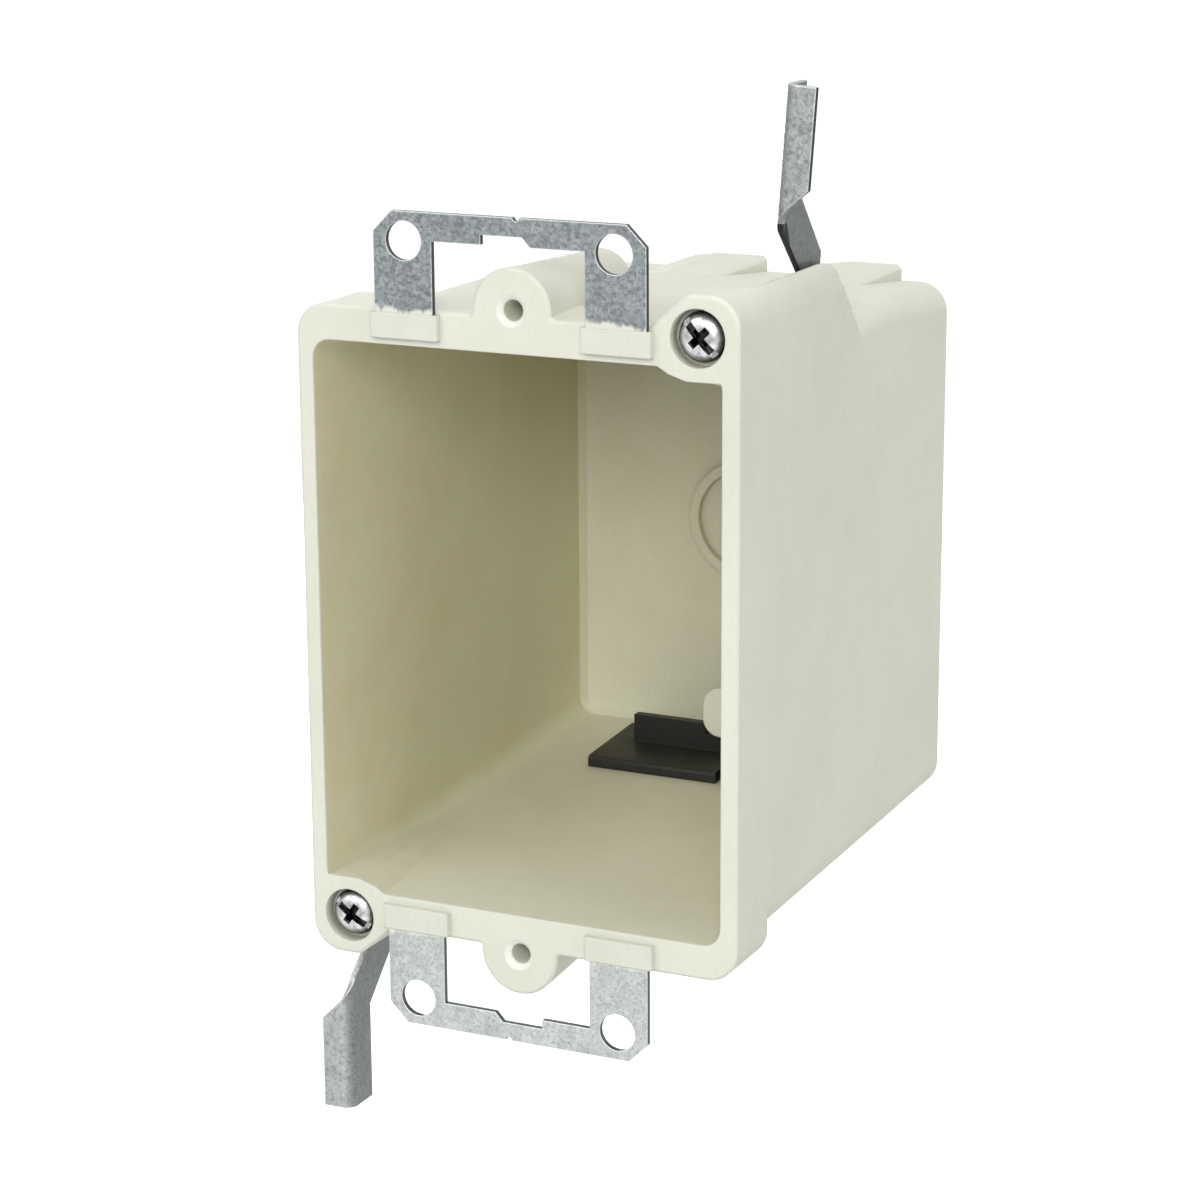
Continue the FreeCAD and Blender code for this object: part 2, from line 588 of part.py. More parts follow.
def add_cable_entries(body):
    far = BODY_TOP - d.hood_wall
    near = far - d.entry_height
    start = d.box_depth - d.entry_length
    end = d.box_depth + ROOM
    outline = [(start, near), (start, inside_half_height(start)), (d.box_depth - d.entry_level, far),
               (end, far), (end, near)]
    for step, name in ((-0.5, "left"), (0.5, "right")):
        sketch = side_sketch(body, f"{name}_entry_outlines", d.entry_middle + d.entry_pitch * step)
        for side in (1, -1):
            draw_polygon(sketch, [(y, z * side) for y, z in outline])
        extrude(body, "Pocket", f"{name}_entries", sketch, d.entry_width, both_ways=True)


def make_box():
    body = new_body("box_body")
    add_walls(body)
    add_stop_walls(body)
    add_device_bosses(body)
    break_rim_edge(body)
    add_hoods(body)
    finish_inside(body)
    add_screw_channels(body)
    add_device_holes(body)
    add_ear_pads(body)
    add_back_wall_details(body)
    add_cable_entries(body)
    return body


# The folded and turned metal pieces

def make_ear(name, turned):
    """A flat U of sheet steel with a screw hole in each corner."""
    body = new_body(name)
    inner = EAR_SIDE - d.ear_leg_width
    root = RIM_TOP - d.ear_bury
    bar = EAR_TOP - d.ear_bar
    relief = bar + d.ear_notch_depth
    shoulder = EAR_TOP - d.ear_chamfer
    outline = front_sketch(body, f"{name}_outline")
    draw_polygon(outline, [
        (-EAR_SIDE, root), (-EAR_SIDE, shoulder), (d.ear_chamfer - EAR_SIDE, EAR_TOP),
        (EAR_SIDE - d.ear_chamfer, EAR_TOP), (EAR_SIDE, shoulder), (EAR_SIDE, root), (inner, root),
        (inner, bar), (d.ear_notch_right, bar), (d.ear_notch_right - d.ear_notch_slope, relief),
        (-d.ear_notch_left, relief), (-d.ear_notch_left, bar), (-inner, bar), (-inner, root)])
    extrude(body, "Pad", f"{name}_sheet", outline, d.ear_thickness)
    holes = front_sketch(body, f"{name}_holes_outline")
    for hand in (-1, 1):
        draw_circle(holes, ((EAR_SIDE - d.ear_hole_side) * hand, EAR_TOP - d.ear_hole_inset), d.ear_hole / 2)
    draw_circle(holes, (d.ear_nick_offset, EAR_TOP), d.ear_nick)
    extrude(body, "Pocket", f"{name}_holes", holes, d.ear_thickness, backwards=True)
    body.Placement = FreeCAD.Placement(FreeCAD.Vector(), FreeCAD.Rotation(FreeCAD.Vector(0, 1, 0), turned))
    return body


def place_on_screw(body, turn, depth, angle=0):
    """Set a body's own origin on a clamp screw's axis; turn -1 is the bottom screw, half a turn round."""
    angle = Size.of(angle) if turn > 0 else Size.of(angle) + 180
    rotation = FreeCAD.Rotation(FreeCAD.Vector(0, 1, 0), angle.number)
    body.Placement = FreeCAD.Placement(FreeCAD.Vector(), rotation)
    bind(body, ".Placement.Base.x", SCREW_X * turn)
    bind(body, ".Placement.Base.y", depth)
    bind(body, ".Placement.Base.z", SCREW_Z * turn)


def make_screw(name, turn, angle):
    """A long pan-head screw with a slot and a cross; the axis is the body's own Y axis."""
    body = new_body(name)
    shank, head = d.screw_diameter / 2, d.head_diameter / 2
    top = d.recess_depth - d.head_height
    profile = plan_sketch(body, f"{name}_profile")
    draw_polygon(profile, [
        (0, top), (head - d.head_chamfer, top), (head, top + d.head_chamfer), (head, d.recess_depth),
        (shank, d.recess_depth), (shank, d.screw_tip - shank / 2), (shank / 2, d.screw_tip),
        (0, d.screw_tip)])
    turned = body.newObject("PartDesign::Revolution", f"{name}_turned")
    turned.Profile = profile
    turned.ReferenceAxis = (origin_part(body, "Y_Axis"), [""])
    turned.Angle = 360
    cuts = [("slot", d.head_diameter + ROOM, d.drive_width, d.slot_depth),
            ("level_arm", d.drive_length, d.drive_width, d.drive_depth),
            ("upright_arm", d.drive_width, d.drive_length, d.drive_depth)]
    for cut, across, up, depth in cuts:
        sketch = front_sketch(body, f"{name}_{cut}_outline", top)
        draw_rectangle(sketch, (-across / 2, -up / 2), (across / 2, up / 2))
        pocket_back(body, f"{name}_{cut}", sketch, depth)
    place_on_screw(body, turn, 0, angle)
    return body


def make_bracket(name, turn, depth, lean):
    """A folded flag on an arm, with a threaded eye; the eye's front face is at the body's origin."""
    body = new_body(name)
    near, far = d.bracket_offset, d.bracket_offset + d.bracket_sheet
    front, back = -d.bracket_jog, d.bracket_web - d.bracket_jog
    web = side_sketch(body, f"{name}_web_outline", near)
    draw_polygon(web, [
        (0, -d.bracket_sheet), (0, d.bracket_front_foot), (front, d.bracket_front_kink),
        (front, d.bracket_length), (back, d.bracket_length), (back, d.bracket_back_kink),
        (d.bracket_web, d.bracket_back_foot), (d.bracket_web, -d.bracket_sheet)])
    extrude(body, "Pad", f"{name}_web", web, d.bracket_sheet)
    flange = front_sketch(body, f"{name}_flange_outline", front)
    edge = near + d.bracket_flange
    draw_polygon(flange, [
        (near, d.bracket_front_kink), (edge, d.bracket_front_kink + d.bracket_flange),
        (edge, d.bracket_length), (near, d.bracket_length)])
    pad_back(body, f"{name}_flange", flange, d.bracket_sheet)
    link = front_sketch(body, f"{name}_link_outline")
    draw_rectangle(link, (0, -d.bracket_sheet), (far, d.bracket_eye))
    pad_back(body, f"{name}_link", link, d.bracket_sheet)
    eye = front_sketch(body, f"{name}_eye_outline")
    draw_circle(eye, (0, 0), d.bracket_eye)
    pad_back(body, f"{name}_eye", eye, d.bracket_sheet)
    bore = d.screw_diameter / 2 + d.bracket_thread_gap
    collar = front_sketch(body, f"{name}_collar_outline")
    draw_circle(collar, (0, 0), bore + d.bracket_collar_wall)
    pad_back(body, f"{name}_collar", collar, d.bracket_sheet + d.bracket_collar_length)
    hole = front_sketch(body, f"{name}_hole_outline")
    draw_circle(hole, (0, 0), bore)
    pocket_back(body, f"{name}_hole", hole, d.bracket_sheet + d.bracket_collar_length)

    def is_fold(x, y):
        return lambda rim: is_near(middle(rim).x, x) and is_near(middle(rim).y, y) and (
            middle(rim).z > d.bracket_front_kink.number)

    dress(body, "Fillet", f"{name}_fold", d.bracket_fold_radius, is_fold(near, front))
    dress(body, "Fillet", f"{name}_bend", d.bracket_bend_radius, is_fold(far, front + d.bracket_sheet))
    place_on_screw(body, turn, depth, lean)
    return body


# The cable clamps

def make_cable_clamp(name, turned):
    """A plate with two springy tongues and an upright rib that is notched round the box's lug."""
    body = new_body(name)
    front = CLAMP_BACK - d.clamp_length
    half_width = inside_half_width(CLAMP_BACK) - d.entry_middle - d.clamp_side_gap

    def seat(depth):
        return -(inside_half_height(depth) - d.clamp_seat)

    plate = side_sketch(body, f"{name}_plate_outline")
    draw_polygon(plate, [
        (front, seat(front)), (CLAMP_BACK, seat(CLAMP_BACK)),
        (CLAMP_BACK, seat(CLAMP_BACK) + d.clamp_sheet), (front, seat(front) + d.clamp_sheet)])
    extrude(body, "Pad", f"{name}_plate", plate, half_width * 2, both_ways=True)
    dress(body, "Fillet", f"{name}_front_edge", d.clamp_edge_radius,
          lambda edge: is_near(middle(edge).y, front)
          and is_near(middle(edge).z, seat(front) + d.clamp_sheet))
    rib = side_sketch(body, f"{name}_rib_outline")
    rib_front = CLAMP_BACK - d.rib_setback
    rib_back = rib_front + d.rib_sheet
    rib_top = d.rib_height - inside_half_height(rib_back)
    draw_rectangle(rib, (rib_front, seat(rib_back) + d.clamp_sheet / 2), (rib_back, rib_top))
    extrude(body, "Pad", f"{name}_rib", rib, (half_width - d.rib_inset) * 2, both_ways=True)
    notch = front_sketch(body, f"{name}_notch_outline", rib_front - ROOM)
    half = d.lug_width / 2 + d.lug_gap
    draw_rectangle(notch, (-half, -(LUG_FOOT + d.lug_gap)), (half, rib_top + ROOM))
    pocket_back(body, f"{name}_notch", notch, d.rib_sheet + ROOM + ROOM)
    slot = plan_sketch(body, f"{name}_slot_outline", seat(CLAMP_BACK) + d.clamp_sheet + ROOM)
    draw_rectangle(slot, (-d.clamp_slot_width / 2, front - ROOM),
                   (d.clamp_slot_width / 2, front + d.clamp_slot_length))
    extrude(body, "Pocket", f"{name}_slot", slot, OPENING_TOP)
    body.Placement = FreeCAD.Placement(FreeCAD.Vector(), FreeCAD.Rotation(FreeCAD.Vector(0, 1, 0), turned))
    bind(body, ".Placement.Base.x", d.entry_middle)
    return body


parts = [
    make_box(),
    make_ear("top_ear", 0),
    make_ear("bottom_ear", 180),
    make_screw("top_clamp_screw", 1, d.top_drive_angle),
    make_screw("bottom_clamp_screw", -1, d.bottom_drive_angle),
    make_bracket("top_swing_bracket", 1, d.top_bracket_y, d.top_bracket_lean),
    make_bracket("bottom_swing_bracket", -1, d.bottom_bracket_y, 0),
    make_cable_clamp("bottom_cable_clamp", 0),
    make_cable_clamp("top_cable_clamp", 180),
]
doc.recompute()

for thing in doc.Objects:
    if "Invalid" in thing.State or "Error" in thing.State:
        raise ValueError(f"{thing.Name} failed: {thing.State}")
os.makedirs("parts", exist_ok=True)
for part in parts:
    if part.Shape.isNull() or not part.Shape.isValid():
        raise ValueError(f"{part.Label} has no valid shape")
    part.Shape.exportStep(f"parts/{part.Label}.step")
    print(part.Label, round(part.Shape.Volume, 1), len(part.Shape.Solids))
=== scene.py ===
"""Looks of the drywall back box: cream moulding, galvanized ears and brackets, zinc screws, black clamps.

Metres, in the frame of the CAD model: the rim's front face is the plane Y = 0, +Y goes into the wall.
"""
import contextlib
import math

import bmesh
import bpy
from mathutils import Matrix, Vector


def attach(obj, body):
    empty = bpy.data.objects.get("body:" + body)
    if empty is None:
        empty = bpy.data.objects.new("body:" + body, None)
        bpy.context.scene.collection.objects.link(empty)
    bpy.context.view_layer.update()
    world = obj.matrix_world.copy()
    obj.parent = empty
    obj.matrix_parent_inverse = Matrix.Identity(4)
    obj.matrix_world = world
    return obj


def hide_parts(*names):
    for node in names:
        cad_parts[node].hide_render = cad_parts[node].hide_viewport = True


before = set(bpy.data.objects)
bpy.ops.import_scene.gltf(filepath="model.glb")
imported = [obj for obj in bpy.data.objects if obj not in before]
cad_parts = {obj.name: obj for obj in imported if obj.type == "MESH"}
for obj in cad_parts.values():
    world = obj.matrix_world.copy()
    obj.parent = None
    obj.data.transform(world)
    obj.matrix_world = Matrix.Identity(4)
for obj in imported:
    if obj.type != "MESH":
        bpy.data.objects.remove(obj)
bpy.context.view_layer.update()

MM = 0.001
WELD_DISTANCE = 0.000002

# Camera, fitted to the straight edges of the box
CAMERA_POSITION = Vector((179.470, -351.106, 108.358)) * MM
CAMERA_RIGHT = Vector((0.90300, 0.42960, -0.00538))
CAMERA_UP = Vector((-0.10397, 0.23066, 0.96746))
CAMERA_LENS = 98.26
CAMERA_SENSOR = 36.0
CAMERA_NEAREST = 0.01

# Stage
FLOOR_HEIGHT = -0.45
FLOOR_HALF_WIDTH = 12.0
FLOOR_COLOUR = (0.72, 0.72, 0.71, 1)
FLOOR_GLOW = 0.85
FLOOR_SHEEN = 0.25
WORLD_LIGHT = 0.39

# Lamps: (name, place, diameter, watts), all turned to the middle of the box
LAMP_TARGET = (0, 0.03, 0)
LAMPS = [
    ("key", (-0.9, -1.4, 1.1), 1.3, 8.8),
    ("front", (0.6, -1.75, 0.8), 1.0, 17.5),
    ("fill", (1.7, -0.3, 0.5), 1.2, 5.5),
    ("top", (0.3, 0.2, 1.8), 1.2, 8.5),
    ("back", (-1.2, 1.7, -0.05), 0.7, 8.0),
]

# Inside of the box: its drafted sides and sloping ceiling stay within these
INSIDE_HALF_WIDTH = 0.02852
INSIDE_DRAFT = -0.0167
INSIDE_FRONT_HEIGHT = 0.0369
INSIDE_SLOPE = -0.038
INSIDE_DEPTH = (0.0004, 0.0752)

# Space inside the box that holds nothing of the moulding but the lugs for the cable clamps
LUG_DEPTH = (0.055, 0.0728)
LUG_REACH = 0.022
LUG_TOP = 0.0325

# Device screw holes: height of their axes, half the standard spacing, and the lead-in, where a highlight is
# painted
DEVICE_HOLE_HEIGHT = 0.0833 / 2
LEAD_IN_RADIUS = 0.0024
LEAD_IN_DEPTH = (0.00003, 0.0008)

# Pads over the ears' legs stand in front of this plane
PAD_FRONT = -0.0001

# Flash of the moulding that creeps over the ears' legs, up to these heights
FLASH_HEIGHT = (0.0402, 0.0417)

# Clamp screws, in millimetres: (node, body, place on the rim's plane, turn of the slot in degrees)
SCREW_X = 24.8
SCREW_Z = 40.0
SCREWS = [
    ("top_clamp_screw", "top_screw", (SCREW_X, 0, SCREW_Z), 47.0),
    ("bottom_clamp_screw", "bottom_screw", (-SCREW_X, 0, -SCREW_Z), 33.0),
]

# Their heads and threads, in millimetres behind the rim's face: (radius, depth) down the head
HEAD_PROFILE = [
    (0.0, 0.30), (0.9, 0.32), (1.6, 0.40), (2.15, 0.57), (2.6, 0.85), (2.93, 1.22),
    (3.1, 1.65), (3.15, 2.0), (3.15, 2.2), (3.05, 2.3), (0.0, 2.3)]
HEAD_SEGMENTS = 64
SLOT_SIZE = (4.0, 0.52)
SLOT_DEPTH = 1.15
CROSS_TOP = (1.95, 0.60)
CROSS_BOTTOM = (0.85, 0.34)
CROSS_DEPTH = 1.9
CUTTER_START = -0.5
SHANK_START = 2.25
SHANK_END = 44.0
THREAD_PITCH = 0.8
THREAD_CREST = 1.75
THREAD_ROOT = 1.40
THREAD_PROFILE = (0.0, 0.35, 1.0, 1.0, 0.35, 0.0)
THREAD_SEGMENTS = 24
TIP_TAPER = 1.2
TIP_SHARE = 0.45
SCREW_SHARP_ANGLE = 32

# Inside of the slot and cross, where shade is painted, in a head's own frame: radius, and span of depth
RECESS_RADIUS = 0.00225
RECESS_DEPTH = (0.00078, 0.0022)

# Swing brackets: (node, body, eye's place, turn in degrees); sizes in millimetres from the screw's axis
BRACKETS = [
    ("top_swing_bracket", "top_bracket", (SCREW_X, 25.9, SCREW_Z), 4.2),
    ("bottom_swing_bracket", "bottom_bracket", (-SCREW_X, 12.1, -SCREW_Z), 180.0),
]
BRACKET_SHEET = 0.85
BRACKET_OFFSET = 1.9
BRACKET_WEB = 5.55
BRACKET_JOG = 9.4
BRACKET_FOLD = 1.7
FOLD_STEPS = 8
BRACKET_FLANGE = 4.25
BRACKET_LENGTH = 28.9
FRONT_FOOT, FRONT_KINK = 3.9, 12.1
BACK_FOOT, BACK_KINK = 6.5, 15.6
SHEET_EDGE = 0.1
BEVELLED_ANGLE = 50
EYE_PROFILE = [(1.8, 0.0), (3.4, 0.0), (3.4, 0.85), (2.6, 0.85), (2.6, 2.15), (1.8, 2.15)]
EYE_SEGMENTS = 40
BRACKET_SHARP_ANGLE = 20

# Sheared edges of a bracket's sheet, where the top bracket gets painted shade: the flange's outer edge, and
# the slanted edges over the arm's length.
# They start a margin in millimetres before the sizes above.
SHEAR_MARGIN = 0.3
FLANGE_EDGE = (BRACKET_OFFSET + BRACKET_FLANGE - SHEAR_MARGIN) * MM
ARM_SPAN = ((FRONT_FOOT - SHEAR_MARGIN) * MM, (FRONT_KINK - SHEAR_MARGIN) * MM)

# Rounded crest of the walls that stop the brackets, in millimetres: (depth, height) along its top
CREST_TOP = [(8.13, 45.25), (27.5, 45.25), (30.0, 45.05), (32.0, 44.65), (33.5, 44.1), (34.6, 43.25),
             (36.4, 41.0), (38.6, 38.0), (41.0, 34.6), (42.2, 32.8)]
CREST_INNER = 28.87
CREST_FOOT = 4.6
CREST_INSIDE = 2.2
CREST_TUCK = 0.06
CREST_STEPS = 8
CREST_PROUD = 0.01
CREST_SHARP_ANGLE = 40
HUMP_START = 1.2
HUMP_RADIUS = 4.0
HUMP_OVERLAP = 1.0
SIDE_FRONT = 30.25
SIDE_START = 10.0
SIDE_DRAFT = 1.35 / 66.8

# Colours that are blended into the finishes, several of them painted light or shade as noted at each, and
# how metallic the galvanized sheet is
# Painted highlight, on the lugs, the lead-ins of the device holes and the moulding's edges
PAINTED_HIGHLIGHT_CREAM = (0.93, 0.93, 0.85, 1)
PAD_SHADE = (0.84, 0.86, 0.90, 1)
FLASH_CREAM = (0.83, 0.84, 0.74, 1)
# Painted highlight along the galvanized sheet's edges
EDGE_HIGHLIGHT_ZINC = (0.90, 0.92, 0.92, 1)
# Painted shade, on the ears' edge-on faces and on the brackets' webs
THIN_EDGE_SHADE = (0.22, 0.22, 0.21, 1)
SHADED_WEB = (0.58, 0.59, 0.57, 1)
# Painted shade on the top bracket's sheared edges
PAINTED_SHEAR_SHADE = (0.12, 0.12, 0.12, 1)
# Painted shade inside the screws' slots and crosses
RECESS_SHADE = (0.10, 0.10, 0.11, 1)
# Painted shade on the clamps' faces that stand upright
SHADED_UPRIGHT_BLACK = (0.004, 0.004, 0.005, 1)
SHEET_METALLIC = 0.7

# Where a sheet is shaded: the object's axis, and the span of facing along it over which the shade sets in
EDGE_ON = ("Y", 0.7, 0.2)
ACROSS = ("X", 0.25, 0.85)


# Node helpers

def feed(tree, socket, value):
    """Gives an input its value, or links it to the socket that feeds it."""
    if isinstance(value, bpy.types.NodeSocket):
        tree.links.new(value, socket)
    else:
        socket.default_value = value


def node(tree, kind, inputs=None, **settings):
    """Adds a node; an input is given as a value or as the socket that feeds it."""
    made = tree.nodes.new(f"ShaderNode{kind}")
    for name, value in settings.items():
        setattr(made, name, value)
    for name, value in (inputs or {}).items():
        feed(tree, made.inputs[name], value)
    return made


def math_node(tree, operation, *values):
    return node(tree, "Math", dict(enumerate(values)), operation=operation).outputs[0]


def new_material(name):
    """A material with one Principled shader, and the position in the object's own frame."""
    material = bpy.data.materials.new(name)
    material.use_nodes = True
    tree = material.node_tree
    shader = tree.nodes["Principled BSDF"]
    place = node(tree, "TexCoord").outputs["Object"]
    return material, tree, shader, place


def stretched(tree, place, scale):
    return node(tree, "Mapping", {"Vector": place, "Scale": scale}).outputs["Vector"]


def noise(tree, place, scale, detail=3.0, roughness=0.55):
    return node(tree, "TexNoise", {
        "Vector": place, "Scale": scale, "Detail": detail, "Roughness": roughness}).outputs["Fac"]


def ramp(tree, factor, stops):
    """A colour ramp with (position, colour) stops."""
    made = node(tree, "ValToRGB", {"Fac": factor})
    elements = made.color_ramp.elements
    for element, (position, colour) in zip(elements, stops):
        element.position = position
        element.color = (*colour, 1)
    for position, colour in stops[len(elements):]:
        elements.new(position).color = (*colour, 1)
    return made.outputs["Color"]


def levels(tree, factor, low, high, start=0.3, end=0.7):
    """Maps a pattern's usual span to values from low to high."""
    limits = {"From Min": start, "From Max": end, "To Min": low, "To Max": high}
    return node(tree, "MapRange", {"Value": factor, **limits}).outputs["Result"]


def blended(tree, mode, factor, first, second):
    made = node(tree, "Mix", data_type="RGBA", blend_type=mode)
    colours = [socket for socket in made.inputs if socket.type == "RGBA"]
    for socket, value in zip([made.inputs["Factor"], *colours], (factor, first, second)):
        feed(tree, socket, value)
    return next(socket for socket in made.outputs if socket.type == "RGBA")


def bump(tree, height, strength, distance, normal):
    return node(tree, "Bump", {
        "Height": height, "Strength": strength, "Distance": distance, "Normal": normal}).outputs["Normal"]


def soft_edges(tree, radius):
    """A normal that rounds hard edges by a small radius."""
    return node(tree, "Bevel", {"Radius": radius}, samples=6).outputs["Normal"]


def painted_crevice_shade(tree, tone, distance, darkest):
    """Painted shade: darkens a tone in crevices, where ambient occlusion finds surfaces close by."""
    open_sky = node(tree, "AmbientOcclusion", {"Distance": distance}, samples=8).outputs["AO"]
    shade = levels(tree, open_sky, darkest, 1.0, 0.15, 0.85)
    return blended(tree, "MULTIPLY", 1.0, tone, node(tree, "CombineColor", {
        "Red": shade, "Green": shade, "Blue": shade}).outputs["Color"])


def between(tree, value, low, high):
    """1 where a value is between two limits, else 0."""
    above = math_node(tree, "GREATER_THAN", value, low)
    below = math_node(tree, "LESS_THAN", value, high)
    return math_node(tree, "MULTIPLY", above, below)


def near_middle(tree, value, limit):
    """1 where a value is closer to zero than a limit, else 0."""
    return math_node(tree, "LESS_THAN", math_node(tree, "ABSOLUTE", value), limit)


def both(tree, first, second):
    """The product of two masks, or of a mask and a share."""
    return math_node(tree, "MULTIPLY", first, second)


def parts_of(tree, vector):
    """The X, Y and Z of a vector."""
    return node(tree, "SeparateXYZ", {"Vector": vector}).outputs


def radius_of(tree, across, up):
    """The distance from an axis, from two offsets square to it."""
    offset = node(tree, "CombineXYZ", {"X": across, "Y": up}).outputs["Vector"]
    return node(tree, "VectorMath", {0: offset}, operation="LENGTH").outputs["Value"]


def facing(tree, axis):
    """How squarely a surface faces along one of the object's own axes, 0 to 1."""
    normal = node(tree, "TexCoord").outputs["Normal"]
    return math_node(tree, "ABSOLUTE", parts_of(tree, normal)[axis])


def edge_mask(tree, soft_normal):
    """1 where a soft edge bends the surface, 0 on its flats."""
    normal = node(tree, "NewGeometry").outputs["Normal"]
    likeness = node(tree, "VectorMath", {0: soft_normal, 1: normal}, operation="DOT_PRODUCT")
    return levels(tree, likeness.outputs["Value"], 1.0, 0.0, 0.85, 0.995)


# Materials

def inside_mask(tree, place):
    """1 on the inside of the box, 0 on its outside and on the rim's face."""
    parts = parts_of(tree, place)
    ceiling = math_node(tree, "MULTIPLY_ADD", parts["Y"], INSIDE_SLOPE, INSIDE_FRONT_HEIGHT)
    side = math_node(tree, "MULTIPLY_ADD", parts["Y"], INSIDE_DRAFT, INSIDE_HALF_WIDTH)
    within = both(tree, near_middle(tree, parts["Z"], ceiling), near_middle(tree, parts["X"], side))
    return both(tree, within, between(tree, parts["Y"], *INSIDE_DEPTH))


def lug_mask(tree, place):
    """1 on the lugs that hold the cable clamps, where painted light makes them paler than the walls behind
    them.
    """
    parts = parts_of(tree, place)
    within = both(tree, near_middle(tree, parts["X"], LUG_REACH), near_middle(tree, parts["Z"], LUG_TOP))
    return both(tree, within, between(tree, parts["Y"], *LUG_DEPTH))


def lead_in_mask(tree, place):
    """1 on the bevelled mouths of the device screw holes."""
    parts = parts_of(tree, place)
    height = math_node(tree, "SUBTRACT", math_node(tree, "ABSOLUTE", parts["Z"]), DEVICE_HOLE_HEIGHT)
    close = math_node(tree, "LESS_THAN", radius_of(tree, parts["X"], height), LEAD_IN_RADIUS)
    return both(tree, close, between(tree, parts["Y"], *LEAD_IN_DEPTH))


def cream_moulding():
    """Glass-filled polyester: a pale cream with cloudy flow marks and a satin skin; painted shade makes the
    inside walls darker and warmer and darkens crevices, and painted highlights pale the lugs, lead-ins and
    edges.
    """
    material, tree, shader, place = new_material("cream_moulding")
    clouds = noise(tree, place, 55, 5)
    flow = noise(tree, stretched(tree, place, (240, 240, 110)), 1, 3)
    fibres = noise(tree, stretched(tree, place, (2600, 2600, 900)), 1, 2)
    outside = ramp(tree, clouds, [
        (0.30, (0.755, 0.765, 0.640)), (0.50, (0.785, 0.797, 0.680)), (0.72, (0.810, 0.822, 0.710))])
    # Painted shade: the inside walls get a darker, warmer tone, fully where they face sideways, standing
    # for the shade and warm bounced light inside the box
    inside = ramp(tree, clouds, [
        (0.30, (0.690, 0.645, 0.425)), (0.50, (0.725, 0.685, 0.470)), (0.72, (0.750, 0.715, 0.510))])
    sideways = levels(tree, facing(tree, "X"), 0.35, 1.0, 0, 1)
    tone = blended(tree, "MIX", both(tree, inside_mask(tree, place), sideways), outside, inside)
    # Painted light: the lugs and the lead-ins of the device holes are mixed towards a highlight cream
    tone = blended(tree, "MIX", both(tree, lug_mask(tree, place), 0.6), tone, PAINTED_HIGHLIGHT_CREAM)
    tone = blended(tree, "MIX", lead_in_mask(tree, place), tone, PAINTED_HIGHLIGHT_CREAM)
    proud = math_node(tree, "LESS_THAN", parts_of(tree, place)["Y"], PAD_FRONT)
    tone = blended(tree, "MULTIPLY", both(tree, proud, 0.3), tone, PAD_SHADE)
    tone = blended(tree, "MULTIPLY", 0.2, tone, ramp(tree, flow, [
        (0.30, (0.90, 0.90, 0.88)), (0.65, (1.0, 1.0, 1.0))]))
    tone = blended(tree, "MULTIPLY", 0.18, tone, ramp(tree, fibres, [
        (0.28, (0.80, 0.79, 0.74)), (0.50, (1.0, 1.0, 1.0))]))
    soft_normal = soft_edges(tree, 0.00035)
    # Painted highlight: the moulding's edges are mixed towards a bright cream where the rounded normal
    # bends
    tone = blended(tree, "MIX", both(tree, edge_mask(tree, soft_normal), 0.5), tone, PAINTED_HIGHLIGHT_CREAM)
    # Painted shade in the moulding's crevices
    tone = painted_crevice_shade(tree, tone, 0.0015, 0.72)
    tree.links.new(tone, shader.inputs["Base Color"])
    tree.links.new(levels(tree, clouds, 0.42, 0.56), shader.inputs["Roughness"])
    skin = bump(tree, noise(tree, place, 1500, 3), 0.08, 0.00006, soft_normal)
    tree.links.new(bump(tree, noise(tree, place, 140, 3), 0.10, 0.0004, skin), shader.inputs["Normal"])
    shader.inputs["Specular IOR Level"].default_value = 0.4
    return material


def flash_mask(tree, place):
    """1 on the ragged skin of moulding at the feet of an ear's legs."""
    height = math_node(tree, "ABSOLUTE", parts_of(tree, place)["Z"])
    ragged = noise(tree, stretched(tree, place, (420, 420, 90)), 1, 6, 0.7)
    edge = levels(tree, ragged, *FLASH_HEIGHT)
    skin = levels(tree, math_node(tree, "SUBTRACT", height, edge), 0.9, 0.0, -0.0003, 0.0002)
    return both(tree, skin, math_node(tree, "GREATER_THAN", facing(tree, "Y"), 0.5))


def sheared_mask(tree, place):
    """1 on the sheared edges of a bracket's arm, and on its flange's outer edge, where painted shade goes.
    """
    parts = parts_of(tree, place)
    slanted = both(tree, between(tree, facing(tree, "Z"), 0.1, 0.95), between(tree, parts["Z"], *ARM_SPAN))
    sideways = math_node(tree, "GREATER_THAN", facing(tree, "X"), 0.5)
    outer = both(tree, sideways, math_node(tree, "GREATER_THAN", parts["X"], FLANGE_EDGE))
    return math_node(tree, "MAXIMUM", slanted, outer)


def recess_mask(tree, place):
    """1 inside the slot and cross of a screw's head."""
    parts = parts_of(tree, place)
    close = math_node(tree, "LESS_THAN", radius_of(tree, parts["X"], parts["Z"]), RECESS_RADIUS)
    return both(tree, close, between(tree, parts["Y"], *RECESS_DEPTH))


